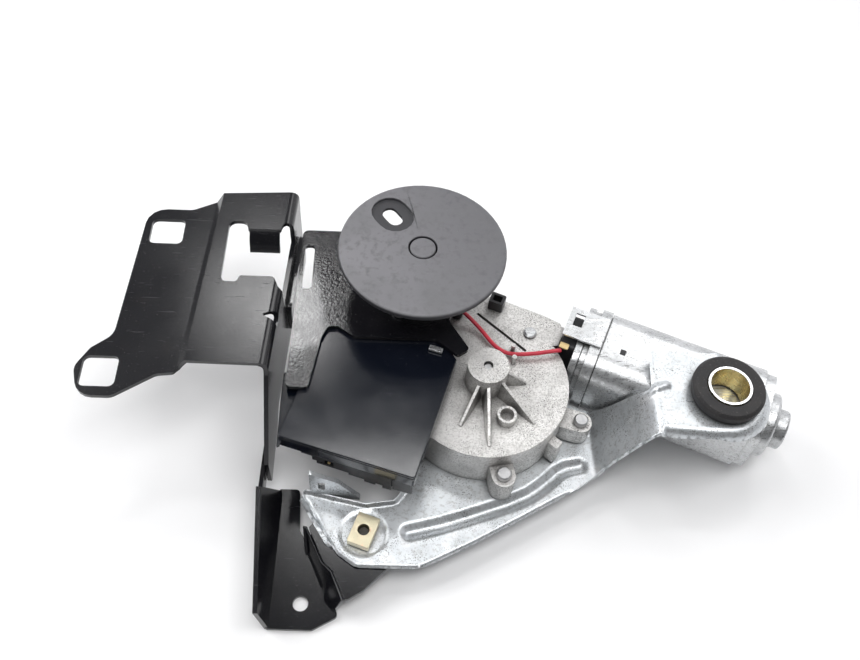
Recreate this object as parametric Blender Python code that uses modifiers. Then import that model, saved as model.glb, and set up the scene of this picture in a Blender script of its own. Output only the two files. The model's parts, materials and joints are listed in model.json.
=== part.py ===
"""Rear wiper drive unit: motor, reduction gearbox, coupling disc, brackets and control unit.

World frame: +Z up, the floor is z = 0 and the origin is the middle of the footprint.
Places are given from the coupling disc's axis, and moved to the origin at the end.
All driving dimensions are in millimetres and turned into metres by mm().
"""

import math

import bmesh
import bpy
from mathutils import Matrix, Vector

# ---- driving dimensions, mm ------------------------------------------------------------------
GAP = 0.3                      # clearance kept between touching pieces
SHEET = 2.0                    # bracket sheet thickness

FOOTPRINT_CENTRE = (15.4, -55.3)   # from the coupling disc's axis

DISC_TOP = 79.5
SHAFT_TOP = DISC_TOP - 4.0
DISC_R = 38.0
DISC_T = 3.0

MODULE = 1.25
OUTPUT_TEETH = 33
DRIVE_TEETH = 54
WHEEL_TEETH = 55
GEAR_DISTANCE = MODULE * (OUTPUT_TEETH + DRIVE_TEETH) / 2
WHEEL_BEARING = math.radians(-55.4)          # direction from the output axis to the wheel axis
WHEEL_X = GEAR_DISTANCE * math.cos(WHEEL_BEARING)
WHEEL_Y = GEAR_DISTANCE * math.sin(WHEEL_BEARING)

MOTOR_Z = 26.0
MOTOR_YAW = math.radians(-22.83)             # direction of the motor shaft, away from the gearbox
WORM_PITCH_R = 6.8
WORM_DISTANCE = MODULE * WHEEL_TEETH / 2 + WORM_PITCH_R
WORM_LEAD = math.pi * MODULE
WORM_ROWS = 48                               # rows of the threaded stretch's surface

HOUSING_R = 38.7
HOUSING_BASE = 15.8
DECK_Z = 39.0
WALL = 2.7
CAVITY_TOP = 36.0

PLATE_TOP = 15.5
LOBE_TOP = 53.5
RAMP_X0 = 85.0
RAMP_X1 = 103.5
GROMMET = (136.2, -56.6)
NUT = (-22.5, -110.1)                       # weld nut on the plate

SHELF_TOP = 51.0
PANEL_TOP = 72.0
TAB_TOP = 67.0

UNIT_CORNER = (-1.5, -98.7)                  # lower right corner of the control unit's lid
UNIT_YAW = math.radians(-17.4)
UNIT_W = 61.8
UNIT_L = 62.0
LID_TOP = 48.5


def mm(value):
    return value * 0.001


# ---- scene and helpers -----------------------------------------------------------------------
def clear_scene():
    for obj in list(bpy.data.objects):
        bpy.data.objects.remove(obj, do_unlink=True)
    for name in ("wiper_drive_unit", "cutters"):
        old = bpy.data.collections.get(name)
        if old:
            bpy.data.collections.remove(old)


def new_collection(name):
    collection = bpy.data.collections.new(name)
    bpy.context.scene.collection.children.link(collection)
    return collection


clear_scene()
PARTS = new_collection("wiper_drive_unit")
CUTTERS = new_collection("cutters")
MATERIALS = {}


def material(name, colour, roughness, metallic):
    mat = bpy.data.materials.new(name)
    mat.use_nodes = True
    shader = mat.node_tree.nodes["Principled BSDF"]
    shader.inputs["Base Color"].default_value = (*colour, 1.0)
    shader.inputs["Roughness"].default_value = roughness
    shader.inputs["Metallic"].default_value = metallic
    mat.diffuse_color = (*colour, 1.0)
    MATERIALS[name] = mat


material("black_paint", (0.018, 0.018, 0.021), 0.38, 0.0)
material("gloss_paint", (0.012, 0.012, 0.014), 0.22, 0.0)
material("galvanised", (0.60, 0.61, 0.60), 0.42, 1.0)
material("zinc", (0.72, 0.73, 0.74), 0.30, 1.0)
material("yellow_zinc", (0.72, 0.58, 0.30), 0.32, 1.0)
material("cast_alloy", (0.46, 0.45, 0.43), 0.55, 1.0)
material("steel", (0.50, 0.50, 0.50), 0.35, 1.0)
material("brass", (0.72, 0.52, 0.22), 0.35, 1.0)
material("copper", (0.72, 0.36, 0.20), 0.35, 1.0)
material("rubber", (0.018, 0.016, 0.015), 0.75, 0.0)
material("disc_plastic", (0.075, 0.075, 0.080), 0.50, 0.0)
material("case_plastic", (0.010, 0.012, 0.020), 0.20, 0.0)
material("dark_plastic", (0.020, 0.020, 0.022), 0.45, 0.0)
material("gear_plastic", (0.75, 0.72, 0.62), 0.45, 0.0)
material("wire_red", (0.60, 0.06, 0.08), 0.40, 0.0)
material("board", (0.03, 0.14, 0.06), 0.45, 0.0)
material("ferrite", (0.03, 0.03, 0.03), 0.60, 0.0)
material("carbon", (0.02, 0.02, 0.02), 0.60, 0.0)


def link(name, mesh, mat=None):
    """A named part when a material is given, otherwise a hidden cutter or guide."""
    obj = bpy.data.objects.new(name, mesh)
    if mat:
        PARTS.objects.link(obj)
        obj.data.materials.clear()
        obj.data.materials.append(MATERIALS[mat])
    else:
        CUTTERS.objects.link(obj)
        obj.hide_render = True
        obj.display_type = "WIRE"
    return obj


def place(obj, at=(0, 0, 0), turn=(0, 0, 0), parent=None):
    obj.location = [mm(v) for v in at]
    obj.rotation_euler = turn
    obj.parent = parent
    return obj


def empty(name, at, turn=(0, 0, 0)):
    obj = bpy.data.objects.new(name, None)
    CUTTERS.objects.link(obj)
    return place(obj, at, turn)


def arc(cx, cy, r, a0, a1, steps):
    """Points of an arc, angles in degrees, both ends included."""
    angles = [math.radians(a0 + (a1 - a0) * i / steps) for i in range(steps + 1)]
    return [(cx + r * math.cos(a), cy + r * math.sin(a)) for a in angles]


def ring(cx, cy, r, steps=32):
    return arc(cx, cy, r, 0, 360 - 360 / steps, steps - 1)


def rounded(corners, steps=4):
    """A closed outline from (x, y, radius) corners, each replaced by a tangent arc."""
    points = []
    count = len(corners)
    for i, corner in enumerate(corners):
        here = Vector(corner[:2])
        radius = corner[2] if len(corner) > 2 else 0.0
        if radius == 0.0:
            points.append(tuple(here))
            continue
        to_prev = (Vector(corners[i - 1][:2]) - here).normalized()
        to_next = (Vector(corners[(i + 1) % count][:2]) - here).normalized()
        half = to_prev.angle(to_next) / 2
        reach = radius / math.tan(half)
        centre = here + (to_prev + to_next).normalized() * (radius / math.sin(half))
        start = here + to_prev * reach - centre
        end = here + to_next * reach - centre
        sweep = start.angle_signed(end)
        for k in range(steps + 1):
            turned = start.copy()
            turned.rotate(Matrix.Rotation(-sweep * k / steps, 2))
            points.append(tuple(centre + turned))
    return points


def box_loop(x0, x1, y0, y1, r=0.0):
    return rounded([(x0, y0, r), (x1, y0, r), (x1, y1, r), (x0, y1, r)])


def curve_to_mesh(curve, name):
    """Evaluated, welded copy of a curve's shape, as a plain mesh."""
    carrier = bpy.data.objects.new(name + "_curve", curve)
    CUTTERS.objects.link(carrier)
    graph = bpy.context.evaluated_depsgraph_get()
    mesh = bpy.data.meshes.new_from_object(carrier.evaluated_get(graph))
    bpy.data.objects.remove(carrier)
    bm = bmesh.new()
    bm.from_mesh(mesh)
    bmesh.ops.remove_doubles(bm, verts=bm.verts, dist=1e-7)
    bmesh.ops.recalc_face_normals(bm, faces=bm.faces)
    bm.to_mesh(mesh)
    bm.free()
    mesh.name = name
    return mesh


def outline(name, loops, z0, z1, mat=None):
    """A flat piece between z0 and z1, from an outer loop and any hole loops, in mm."""
    curve = bpy.data.curves.new(name, "CURVE")
    curve.dimensions = "2D"
    curve.fill_mode = "BOTH"
    curve.extrude = mm(z1 - z0) / 2
    for loop in loops:
        spline = curve.splines.new("POLY")
        spline.points.add(len(loop) - 1)
        for point, (x, y) in zip(spline.points, loop):
            point.co = (mm(x), mm(y), 0.0, 1.0)
        spline.use_cyclic_u = True
    obj = link(name, curve_to_mesh(curve, name), mat)
    obj.location.z = mm(z0 + z1) / 2
    return obj


def turned(name, profile, mat=None, steps=40):
    """A body of revolution about Z; the profile runs down its outer side, (r, z) in mm."""
    mesh = bpy.data.meshes.new(name)
    bm = bmesh.new()
    verts = [bm.verts.new((mm(r), 0.0, mm(z))) for r, z in profile]
    for a, b in zip(verts, verts[1:] + verts[:1]):
        if a.co.x > 1e-9 or b.co.x > 1e-9:
            bm.edges.new((a, b))
    bm.to_mesh(mesh)
    bm.free()
    obj = link(name, mesh, mat)
    screw = obj.modifiers.new("turn", "SCREW")
    screw.axis = "Z"
    screw.steps = steps
    screw.render_steps = steps
    screw.use_merge_vertices = True
    screw.merge_threshold = 0.000001
    return obj


def tube(name, path, radius, mat, sides=2):
    """A round wire along a list of (x, y, z) points in mm."""
    curve = bpy.data.curves.new(name, "CURVE")
    curve.dimensions = "3D"
    curve.bevel_depth = mm(radius)
    curve.bevel_resolution = sides
    curve.use_fill_caps = True
    spline = curve.splines.new("POLY")
    spline.points.add(len(path) - 1)
    for point, co in zip(spline.points, path):
        point.co = (*[mm(v) for v in co], 1.0)
    return link(name, curve_to_mesh(curve, name), mat)


def block(name, size, mat=None, bevel=0.0):
    """A box centred on its origin, with rounded edges when bevel is given."""
    mesh = bpy.data.meshes.new(name)
    bm = bmesh.new()
    bmesh.ops.create_cube(bm, size=1.0)
    bmesh.ops.scale(bm, vec=[mm(v) for v in size], verts=bm.verts)
    bm.to_mesh(mesh)
    bm.free()
    obj = link(name, mesh, mat)
    if bevel:
        edge = obj.modifiers.new("edges", "BEVEL")
        edge.width = mm(bevel)
        edge.segments = 2
    return obj


def hull(name, points):
    """The convex solid round a few corner points, in mm."""
    mesh = bpy.data.meshes.new(name)
    bm = bmesh.new()
    for point in points:
        bm.verts.new([mm(v) for v in point])
    bmesh.ops.convex_hull(bm, input=bm.verts)
    bm.normal_update()
    bmesh.ops.recalc_face_normals(bm, faces=bm.faces)
    bm.to_mesh(mesh)
    bm.free()
    return link(name, mesh)


def boolean(obj, operation, *others):
    """One exact Boolean with all the others at once, grouped in a collection of their own."""
    group = bpy.data.collections.new(f"{obj.name}_{operation.lower()}")
    CUTTERS.children.link(group)
    for other in others:
        group.objects.link(other)
    mod = obj.modifiers.new(operation.lower(), "BOOLEAN")
    mod.operation = operation
    mod.solver = "EXACT"
    mod.operand_type = "COLLECTION"
    mod.collection = group
    return obj


def cut(obj, *others):
    return boolean(obj, "DIFFERENCE", *others)


def join(obj, *others):
    return boolean(obj, "UNION", *others)


def drill(name, x, y, r, z0, z1, steps=24):
    return place(turned(name, [(0, z1), (r, z1), (r, z0), (0, z0)], steps=steps), (x, y, 0))


# ---- shared places ---------------------------------------------------------------------------
MOTOR_DIR = Vector((math.cos(MOTOR_YAW), math.sin(MOTOR_YAW)))
MOTOR_SIDE = Vector((-MOTOR_DIR.y, MOTOR_DIR.x))
WHEEL = Vector((WHEEL_X, WHEEL_Y))
PITCH_POINT = WHEEL + MOTOR_SIDE * WORM_DISTANCE     # point of the motor axis nearest the wheel

SIDEWAYS = (0.0, math.pi / 2, MOTOR_YAW)


def motor_point(s, side=0.0):
    return PITCH_POINT + MOTOR_DIR * s + MOTOR_SIDE * side


def on_wheel(r, degrees):
    a = math.radians(degrees)
    return WHEEL_X + r * math.cos(a), WHEEL_Y + r * math.sin(a)


OUTPUT_AXIS = empty("output_axis", (0, 0, 0))
WHEEL_AXIS = empty("wheel_axis", (WHEEL_X, WHEEL_Y, 0))
MOTOR_AXIS = empty("motor_axis", (*PITCH_POINT, MOTOR_Z), SIDEWAYS)


# ---- coupling disc and output train ----------------------------------------------------------
def gear_loop(teeth, outer, root, phase):
    """A toothed outline with one tooth centred on the phase angle and ample backlash."""
    pitch = 2 * math.pi / teeth
    tooth = ((-0.27, root), (-0.13, outer), (0.13, outer), (0.27, root))
    return [(radius * math.cos(phase + (i + share) * pitch), radius * math.sin(phase + (i + share) * pitch))
            for i in range(teeth) for share, radius in tooth]


def spur_gear(name, teeth, bore, z0, z1, phase, axis, mat):
    outer = MODULE * (teeth / 2 + 0.8)
    root = MODULE * (teeth / 2 - 1.2)
    gear = outline(name, [gear_loop(teeth, outer, root, phase), ring(0, 0, bore, 28)], z0, z1, mat)
    gear.parent = axis
    return gear


def coupling_disc():
    rim = DISC_TOP - DISC_T
    disc = turned("coupling_disc", [
        (6.6, DISC_TOP), (DISC_R - 0.6, DISC_TOP), (DISC_R, DISC_TOP - 0.6), (DISC_R, rim),
        (DISC_R - 2, rim), (14, rim - 1.0), (9, rim - 5.5), (5.2, rim - 5.5), (5.2, SHAFT_TOP - 2.4),
        (6.6, SHAFT_TOP - 1.0),
    ], "disc_plastic", steps=56)
    place(disc, parent=OUTPUT_AXIS)
    recess = outline("disc_recess", [box_loop(-10.5, 10.5, -8.5, 8.5, 8.3)], DISC_TOP - 1.6, DISC_TOP + 1)
    slot = outline("disc_slot", [box_loop(-5.5, 5.5, -3.4, 3.4, 3.3)], 60, DISC_TOP + 1)
    for cutter in (recess, slot):
        cutter.location.xy = (mm(-14), mm(19))
        cutter.rotation_euler.z = math.radians(-52)
    cut(disc, recess, slot)
    cap = turned("disc_cap", [(0, DISC_TOP - 0.1), (5.4, DISC_TOP - 0.1), (5.9, DISC_TOP - 0.6),
                              (5.9, SHAFT_TOP + GAP), (0, SHAFT_TOP + GAP)], "disc_plastic")
    place(cap, parent=OUTPUT_AXIS)


def output_train():
    shaft = turned("output_shaft", [(0, SHAFT_TOP), (4.2, SHAFT_TOP), (4.9, SHAFT_TOP - 0.7), (4.9, 19.0),
                                    (0, 19.0)], "steel")
    place(shaft, parent=OUTPUT_AXIS)
    spur_gear("output_gear", OUTPUT_TEETH, 5.2, 30.9, 35.4, WHEEL_BEARING + math.pi / OUTPUT_TEETH,
              OUTPUT_AXIS, "steel")
    clip = outline("shaft_clip", [ring(0, 0, 8.0, 28), ring(0, 0, 5.2, 24)], 66.5, 67.1, "steel")
    clip.parent = OUTPUT_AXIS
    bush = outline("output_bush", [ring(0, 0, 7.2), ring(0, 0, 5.0)], 38.0, 65.8, "brass")
    bush.parent = OUTPUT_AXIS


def wheel_train():
    """Worm wheel and drive gear turn together on a fixed axle."""
    wheel = spur_gear("worm_wheel", WHEEL_TEETH, 4.05, 21.7, 30.3,
                      math.atan2(MOTOR_SIDE.y, MOTOR_SIDE.x), WHEEL_AXIS, "gear_plastic")
    lead_slope = WORM_LEAD / (2 * math.pi * WORM_PITCH_R)
    for vert in wheel.data.vertices:
        twist = lead_slope * vert.co.z / mm(MODULE * WHEEL_TEETH / 2)
        vert.co = Matrix.Rotation(twist, 3, "Z") @ vert.co
    spur_gear("drive_gear", DRIVE_TEETH, 4.05, 30.6, 35.4, WHEEL_BEARING + math.pi, WHEEL_AXIS, "steel")
    axle = turned("wheel_axle", [(0, 51.5), (1.8, 51.5), (1.8, 50.2), (4.0, 49.6), (4.0, 17.9), (0, 17.9)],
                  "steel", steps=28)
    place(axle, parent=WHEEL_AXIS)


# ---- gearbox ---------------------------------------------------------------------------------
def housing_loop(shrink=0.0):
    """Outline round the worm wheel and the output gear, with straight tangents between."""
    big, small = HOUSING_R - shrink, 25.5 - shrink
    back = math.degrees(WHEEL_BEARING) + 180
    lean = math.degrees(math.acos((HOUSING_R - 25.5) / GEAR_DISTANCE))
    return (arc(WHEEL_X, WHEEL_Y, big, back + lean, back + 360 - lean, 34)
            + arc(0, 0, small, back - lean, back + lean, 14))


def tapered_rib(name, x0, y0, x1, y1, z_from, z_to):
    """A rib with sloping sides on the deck, from a boss outwards, dropping in height."""
    start, end = Vector((x0, y0)), Vector((x1, y1))
    across = (end - start).normalized().orthogonal()
    points = []
    for side in (-0.5, 0.5):
        points += [(*(start + across * side * 5.0), DECK_Z - 1), (*(start + across * side * 1.3), z_from),
                   (*(end + across * side * 2.2), DECK_Z - 1), (*(end + across * side * 1.1), z_to)]
    return hull(name, points)


RIBS = ((242.7, 26.6), (270.9, 33.4), (314.7, 30.4), (358.0, 18.8))      # direction from the wheel axis, reach
LUGS = ((75.9, -58.3, 27.2), (38.5, -87.7, 30.0))                # place and top of the lug
BOSS_TOP = 53.0
TUBE = (39.5, -64.4)
BRACKET_POSTS = tuple((18.2 * math.cos(a), 18.2 * math.sin(a))
                      for a in (math.radians(d) for d in (60, 180, 240)))


def gearbox_housing():
    body = outline("gearbox_housing", [housing_loop()], HOUSING_BASE, DECK_Z, "cast_alloy")
    shoulder = [tuple(motor_point(s, side)) for s, side in
                ((-13, -12), (-12, 3.5), (-9, 5.5), (12, 5.5), (21.5, 4.5), (24.4, 0), (24.4, -8), (10, -16))]
    tunnel = turned("worm_tunnel", [(0, 25), (9.9, 25), (9.9, -21), (8, -23), (0, -23)], steps=36)
    tunnel.parent = MOTOR_AXIS
    added = [outline("worm_shoulder", [shoulder], 24.7, DECK_Z - 0.4), tunnel,
             drill("wheel_boss", WHEEL_X, WHEEL_Y, 9.4, 37.9, BOSS_TOP, 40),
             drill("output_boss", 0, 0, 12.6, 37.7, 66.0, 40), drill("tube_boss", *TUBE, 4.4, 37.8, 43.6)]
    for i, (direction, reach) in enumerate(RIBS):
        added.append(tapered_rib(f"deck_rib_{i}", *on_wheel(7, direction), *on_wheel(reach, direction),
                                 50.0, DECK_Z + 0.7))
    for i, (x, y, top) in enumerate(LUGS):
        lug = outline(f"lug_{i}", [box_loop(-16, 5.4, -5.4, 5.4, 5.2)], HOUSING_BASE + 0.4, top)
        lug.location.xy = (mm(x), mm(y))
        lug.rotation_euler.z = math.atan2(y - WHEEL_Y, x - WHEEL_X)
        added.append(lug)
    stop = outline("cast_stop", [box_loop(-8, 5.0, -2.3, 2.3, 0.6)], HOUSING_BASE + 0.7, 30.6)
    stop.location.xy = [mm(v) for v in on_wheel(38.7, -39.4)]
    stop.rotation_euler.z = math.radians(-39.4)
    added.append(stop)
    added += [drill(f"bracket_post_{i}", x, y, 4.5, 37.6, 48.7) for i, (x, y) in enumerate(BRACKET_POSTS)]
    added += [drill(f"wire_post_{i}", 44.2, y, 1.1, 37.5, 44.5, 12) for i, y in enumerate((-28.0, -34.4))]
    join(body, *added)
    bore = turned("worm_bore", [(0, 30), (8.5, 30), (8.5, -19.5), (0, -19.5)], steps=28)
    bore.parent = MOTOR_AXIS
    groove = outline("deck_groove", [box_loop(-15.3, 15.3, -0.7, 0.7, 0.3)], DECK_Z - 2.0, DECK_Z + 2)
    groove.location.xy = (mm(39.4), mm(-17.2))
    groove.rotation_euler.z = math.radians(-43)
    removed = [outline("cavity", [housing_loop(WALL)], HOUSING_BASE - 2, CAVITY_TOP), bore, groove,
               drill("output_bore", 0, 0, 7.5, 30, 70, 32), drill("axle_bore", WHEEL_X, WHEEL_Y, 4.3, 30, BOSS_TOP - 2.5, 28),
               drill("axle_mouth", WHEEL_X, WHEEL_Y, 2.2, 40, 60), drill("tube_bore", *TUBE, 3.2, 39.4, 50)]
    removed += [drill(f"lug_bore_{i}", x, y, 2.3, 10, 35) for i, (x, y, top) in enumerate(LUGS)]
    removed += [drill(f"post_bore_{i}", x, y, 2.2, 41, 55) for i, (x, y) in enumerate(BRACKET_POSTS)]
    cut(body, *removed)


def gearbox_small_parts():
    floor = outline("gearbox_cover", [housing_loop(WALL + GAP)], HOUSING_BASE, 17.5, "galvanised")
    tunnel_gap = block("tunnel_gap", (9, 40, 40))
    tunnel_gap.parent = MOTOR_AXIS
    tunnel_gap.location = (mm(9.2), mm(-2), mm(2))
    cut(floor, tunnel_gap)
    for i, (x, y, top) in enumerate(LUGS):
        seat = top + GAP
        screw = [(0, seat + 2.7), (2.7, seat + 2.7), (3.3, seat + 2.1), (3.3, seat), (2.0, seat), (2.0, 16.0),
                 (0, 16.0)]
        place(turned(f"lug_screw_{i + 1}", screw, "steel", steps=20), (x, y, 0))
    for i, (x, y) in enumerate(BRACKET_POSTS):
        place(turned(f"bracket_screw_{i + 1}", [(0, 53.6), (3.4, 53.6), (4.0, 53.0), (4.0, 51.3), (1.9, 51.3),
                                                (1.9, 41.3), (0, 41.3)], "steel", steps=20), (x, y, 0))
    place(turned("deck_rivet", [(0, 40.6), (2.2, 40.6), (3.1, 40.0), (3.1, 39.3), (0, 39.3)], "zinc",
                 steps=20), (53.1, -17.6, 0))
    clip = outline("loop_clip", [box_loop(-3.6, 3.6, -3.0, 3.0, 0.8), box_loop(-2.2, 2.2, -1.7, 1.7, 0.4)],
                   39.3, 45.5, "dark_plastic")
    clip.location.xy = (mm(37.6), mm(-2.2))
    clip.rotation_euler.z = MOTOR_YAW
    bush = turned("wire_bush", [(0, 42.0), (1.9, 42.0), (2.6, 41.0), (2.6, 39.3), (0, 39.3)], "rubber", steps=20)
    place(bush, (18.4, -8.2, 0))


def red_wire():
    """Held at both ends: it rises from its bush, runs between the two posts and ends at the terminal."""
    knots = [(18.4, -8.2, 43.4), (19.6, -9.3, 44.6), (22.2, -11.2, 44.2), (25.9, -14.2, 42.6),
             (30.2, -18.9, 41.4), (34.9, -25.6, 41.2), (39.8, -29.9, 41.4), (45.2, -31.3, 41.8),
             (53.6, -31.1, 42.4), (60.8, -29.9, 42.6), (66.6, -28.6, 42.2)]
    path = []
    for i in range(len(knots) - 1):
        p0, p1 = Vector(knots[max(i - 1, 0)]), Vector(knots[i])
        p2, p3 = Vector(knots[i + 1]), Vector(knots[min(i + 2, len(knots) - 1)])
        for k in range(3):
            t = k / 3
            path.append(0.5 * (2 * p1 + (p2 - p0) * t + (2 * p0 - 5 * p1 + 4 * p2 - p3) * t * t
                               + (3 * p1 - p0 - 3 * p2 + p3) * t ** 3))
    path.append(Vector(knots[-1]))
    tube("red_wire", path, 1.0, "wire_red")


# ---- motor -----------------------------------------------------------------------------------
CAN_HALF = 20.5
CAN_START = 36.0
CAN_END = 123.8


def motor_part(obj):
    obj.parent = MOTOR_AXIS
    return obj


def square_loop(half, r):
    return box_loop(-half, half, -half, half, r)


def worm_shaft():
    """Shaft and worm in one: a surface whose radius follows a single-start helical thread."""
    rows = [-18.0, -15.0] + [-14.0 + 28.0 * i / WORM_ROWS for i in range(WORM_ROWS + 1)] + [15.0, 62.0, 112.0, 129.0]
    around = 18

    def radius(s, angle):
        if abs(s) > 14.0:
            return 3.0 if s > 0 else 2.6
        phase = (s / WORM_LEAD - (angle - 1.5 * math.pi) / (2 * math.pi)) % 1.0
        rise = min(1.0, max(0.0, (0.27 - abs(phase - 0.5)) / 0.14))
        fade = min(1.0, (14.0 - abs(s)) / 1.5)
        return 5.3 + 2.4 * rise * fade

    bm = bmesh.new()
    grid = []
    for s in rows:
        angles = [2 * math.pi * k / around for k in range(around)]
        grid.append([bm.verts.new((mm(radius(s, a) * math.cos(a)), mm(radius(s, a) * math.sin(a)), mm(s)))
                     for a in angles])
    for low, high in zip(grid, grid[1:]):
        for k in range(around):
            n = (k + 1) % around
            bm.faces.new((low[k], low[n], high[n], high[k]))
    bm.faces.new(grid[0])
    bm.faces.new(grid[-1])
    bmesh.ops.recalc_face_normals(bm, faces=bm.faces)
    mesh = bpy.data.meshes.new("worm_shaft")
    bm.to_mesh(mesh)
    bm.free()
    motor_part(link("worm_shaft", mesh, "steel"))


def armature():
    bore = ring(0, 0, 3.3, 24)
    motor_part(outline("armature_core", [ring(0, 0, 13.3, 32), bore], 66, 104, "ferrite"))
    for name, low, high in (("winding_front", 58.5, 65.7), ("winding_rear", 104.3, 111.0)):
        motor_part(turned(name, [(3.3, high), (9.0, high), (11.8, (low + high) / 2), (9.0, low), (3.3, low)],
                          "copper", steps=24))
    motor_part(outline("commutator", [ring(0, 0, 7.0, 24), bore], 44.5, 56.5, "copper"))


def motor_shell():
    can = outline("motor_can", [square_loop(CAN_HALF - 1.3, 10.5)], CAN_START, CAN_END, "zinc")
    motor_part(can)
    cut(can, motor_part(outline("can_hollow", [square_loop(CAN_HALF - 2.4, 9.4)], CAN_START - 1, CAN_END - 1.4)))
    cut(can, motor_part(outline("can_mouth", [ring(0, 0, 6.0, 24)], CAN_END - 5, CAN_END + 1)))
    shell = [square_loop(CAN_HALF, 11.5), square_loop(CAN_HALF - 1.2, 10.4)]
    motor_part(outline("flux_ring", shell, 44.0, 119.0, "zinc"))
    bell = turned("end_bell", [(0, 136.0), (8.6, 136.0), (9.4, 135.2), (9.4, 130.4), (14.4, 129.6), (15.5, 128.6),
                               (15.5, CAN_END + GAP), (3.3, CAN_END + GAP), (3.3, 130.5), (0, 130.5)], "zinc",
                  steps=44)
    motor_part(bell)
    for name, side in (("magnet_left", 1), ("magnet_right", -1)):
        middle = 90 * side
        sector = arc(0, 0, 17.7, middle - 58, middle + 58, 12) + arc(0, 0, 14.0, middle + 58, middle - 58, 12)
        motor_part(outline(name, [sector], 61, 109, "ferrite"))


def motor_front():
    """Flange, brush card with its brushes, terminal frame and the shaft's front bush."""
    flange = [rounded([(-19.5, -19.5, 9), (17.5, -19.5, 9), (17.5, 19.5, 9), (-19.5, 19.5, 9)]),
              ring(0, 0, 9.5, 32)]
    motor_part(outline("motor_flange", flange, 32.4, 35.7, "zinc"))
    strap = [square_loop(CAN_HALF + 0.5, 11.5), square_loop(CAN_HALF - 1.0, 10.2)]
    motor_part(outline("motor_strap", strap, 38.6, 43.6, "zinc"))
    card = [rounded([(-17.5, -10.5, 2), (6, -10.5, 2), (6, 9, 2), (-17.5, 9, 2)]), ring(0, 0, 5.0, 24)]
    motor_part(outline("brush_card", card, 25.3, 32.1, "dark_plastic"))
    for name, side in (("brush_left", 1), ("brush_right", -1)):
        brush = motor_part(block(name, (4.4, 7.0, 6.0), "carbon"))
        brush.location = (0, mm(side * 11.0), mm(50.5))
    frame = [box_loop(-22.4, -21.2, -7.4, 9.6)]
    plate = motor_part(outline("terminal_frame", frame, 24.6, 43.4, "zinc"))
    window = motor_part(block("frame_window", (8, 7.4, 4.4)))
    window.location = (mm(-21.8), mm(3.0), mm(29.6))
    cut(plate, window)
    lug = outline("solder_lug", [box_loop(-2.2, 2.2, -1.6, 1.6, 0.5)], 44.0, 44.7, "brass")
    lug.location.xy = [mm(v) for v in motor_point(27.4, -10.9)]
    lug.rotation_euler.z = MOTOR_YAW
    bush = outline("worm_bush", [ring(0, 0, 8.2, 28), ring(0, 0, 3.1, 24)], 16.5, 24.5, "brass")
    motor_part(bush)


# ---- galvanised mounting plate, nut and grommet ------------------------------------------------
def ramp_height(x):
    """Rise of the plate's surface above its lower level, a smooth step between the two ramp lines."""
    t = min(1.0, max(0.0, (x - RAMP_X0) / (RAMP_X1 - RAMP_X0)))
    return (LOBE_TOP - PLATE_TOP) * (t * t * (3 - 2 * t) * 0.6 + t * 0.4)


def mounting_plate():
    gx, gy = GROMMET
    loop = rounded([(-51, -90.2, 2), (-50.3, -96, 4), (-33.5, -119.5, 6), (-25.5, -125.2, 7), (2.5, -125.4, 14),
                    (26.4, -113.5), (50.0, -100.4), (73.8, -86.8, 8), (87.5, -77.0, 8), (104, -76.6, 8),
                    *arc(gx, gy, 21.5, -97, 100, 20),
                    (104.6, -34.0, 4), (103.6, -54.8, 2), (84.0, -46.6, 3), (62.5, -38.0, 4), (10, -37, 6),
                    (-4.5, -62, 8), (-5.4, -89.0, 3), (-9.5, -94.6, 3), (-22, -96.6, 6), (-37, -93.3, 4)])
    plate = outline("mounting_plate", [loop, ring(gx, gy, 12.8, 28), ring(*NUT, 3.3, 20)],
                    -SHEET / 2, SHEET / 2, "galvanised")
    bm = bmesh.new()
    bm.from_mesh(plate.data)
    slices = 8
    for i in range(slices + 1):
        x = RAMP_X0 + (RAMP_X1 - RAMP_X0) * i / slices
        geometry = list(bm.verts) + list(bm.edges) + list(bm.faces)
        bmesh.ops.bisect_plane(bm, geom=geometry, dist=1e-7, plane_co=(mm(x), 0, 0), plane_no=(1, 0, 0))
    for vert in bm.verts:
        x = vert.co.x * 1000
        level = PLATE_TOP + ramp_height(x)
        tilt = math.atan(ramp_height(x + 0.5) - ramp_height(x - 0.5))
        drop = 0.0 if vert.co.z > 0 else SHEET
        vert.co.x = mm(x + drop * math.sin(tilt))
        vert.co.z = mm(level - drop * math.cos(tilt))
    bmesh.ops.triangulate(bm, faces=bm.faces)
    bm.to_mesh(plate.data)
    bm.free()
    ear = outline("ear_tab", [rounded([(0, 0), (22, 0), (22, 2), (12.5, 15.5, 1), (1, 21.5, 1), (0, 21.5)]),
                              box_loop(3.7, 6.8, 7.5, 14.0, 0.5)], -0.9, 0.9)
    place(ear, (-46.9, -92.2, PLATE_TOP - 1.2), (math.pi / 2, 0, math.radians(-4.4)))
    join(plate, ear)


def nut_and_grommet():
    nut = outline("clip_nut", [box_loop(-5.05, 5.05, -7.2, 7.2, 0.5), ring(0, 0, 2.6, 20)], 15.8, 19.8,
                  "yellow_zinc")
    nut.location.xy = (mm(NUT[0]), mm(NUT[1]))
    nut.rotation_euler.z = math.radians(-20)
    bolt = turned("clamp_bolt", [(0, 17.4), (2.2, 17.4), (2.2, 10.9), (5.0, 10.9), (5.0, 7.4), (4.4, 6.9), (0, 6.9)],
                  "steel", steps=20)
    place(bolt, (*NUT, 0))
    under = LOBE_TOP - SHEET - GAP
    over = LOBE_TOP + GAP
    place(turned("grommet", [(10.1, 60.4), (15.0, 60.4), (16.3, 59.0), (16.3, 56.2), (15.6, 55.4), (15.6, over),
                             (12.5, over), (12.5, under), (15.2, under), (15.2, 48.0), (14.5, 47.2), (10.1, 47.2)],
                 "rubber", steps=44), (*GROMMET, 0))
    place(turned("grommet_sleeve", [(8.6, 61.0), (9.8, 61.0), (9.8, 47.3), (8.6, 47.3)], "yellow_zinc", steps=40),
          (*GROMMET, 0))


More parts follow.
